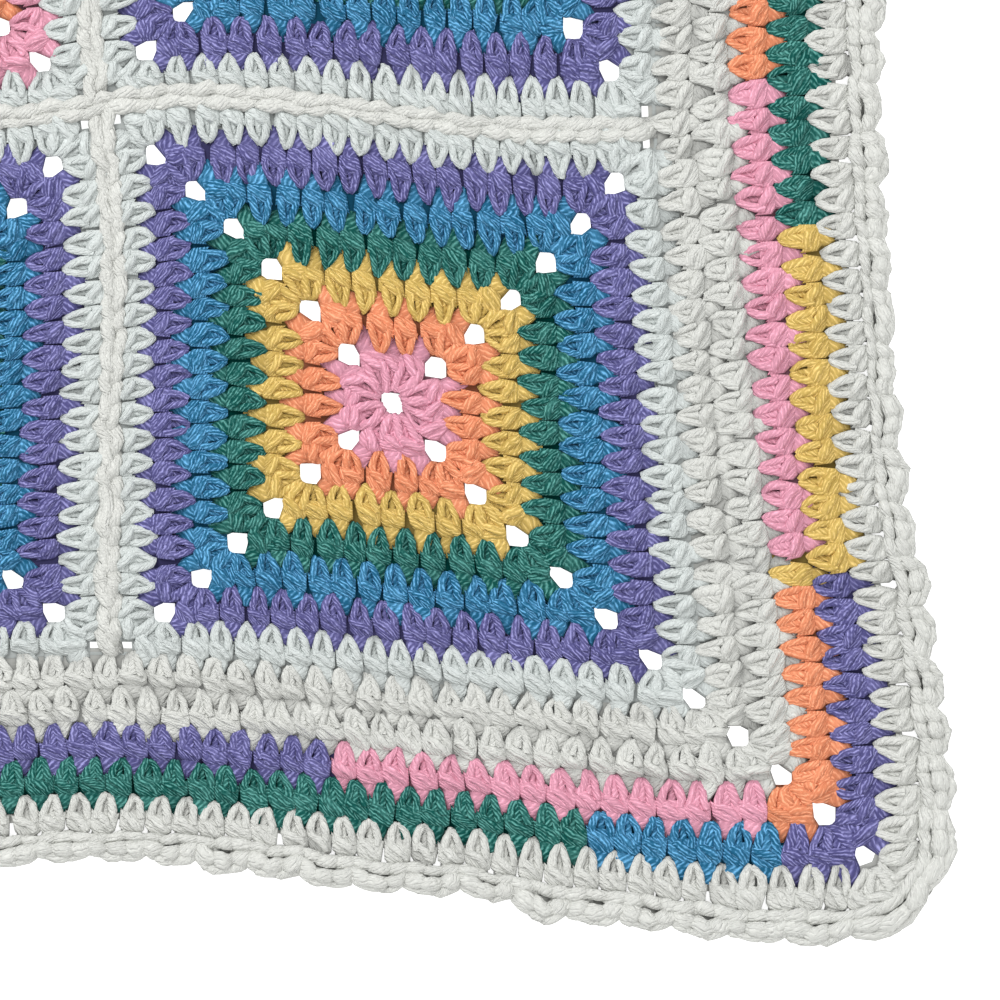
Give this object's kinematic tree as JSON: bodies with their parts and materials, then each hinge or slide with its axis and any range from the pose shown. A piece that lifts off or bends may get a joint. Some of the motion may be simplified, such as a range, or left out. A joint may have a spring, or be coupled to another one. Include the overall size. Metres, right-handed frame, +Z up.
{
  "type": "granny square blanket",
  "caption": "Flat crocheted blanket of solid granny squares in rainbow rounds, joined by raised white seams and framed by a striped border with a scalloped edge.",
  "frame": {"origin": "middle of the footprint, on the surface the blanket lies on", "axes": "+Z up through the cloth, +X towards the right-hand side and +Y towards the top side, with the pulled-out corner at +X -Y"},
  "size_m": [0.6066, 0.6016, 0.0054],
  "materials": {
    "square_yarn": "matte crocheted acrylic yarn, rounds of pink, orange, yellow, green, blue, purple and white",
    "middle_square_yarn": "matte crocheted acrylic yarn, the same colours with their order turned round",
    "seam_yarn": "matte white yarn in a raised joining chain",
    "border_yarn": "matte white yarn with two rounds of coloured stripes"
  },
  "bodies": {
    "root": {"square_1_1": "square_yarn", "square_1_2": "square_yarn", "square_1_3": "square_yarn", "square_2_1": "square_yarn", "square_2_2": "middle_square_yarn", "square_2_3": "square_yarn", "square_3_1": "square_yarn", "square_3_2": "square_yarn", "square_3_3": "square_yarn", "seam_across_1": "seam_yarn", "seam_across_2": "seam_yarn", "seam_up_1_1": "seam_yarn", "seam_up_1_2": "seam_yarn", "seam_up_1_3": "seam_yarn", "seam_up_2_1": "seam_yarn", "seam_up_2_2": "seam_yarn", "seam_up_2_3": "seam_yarn", "border": "border_yarn"}
  },
  "joints": []
}
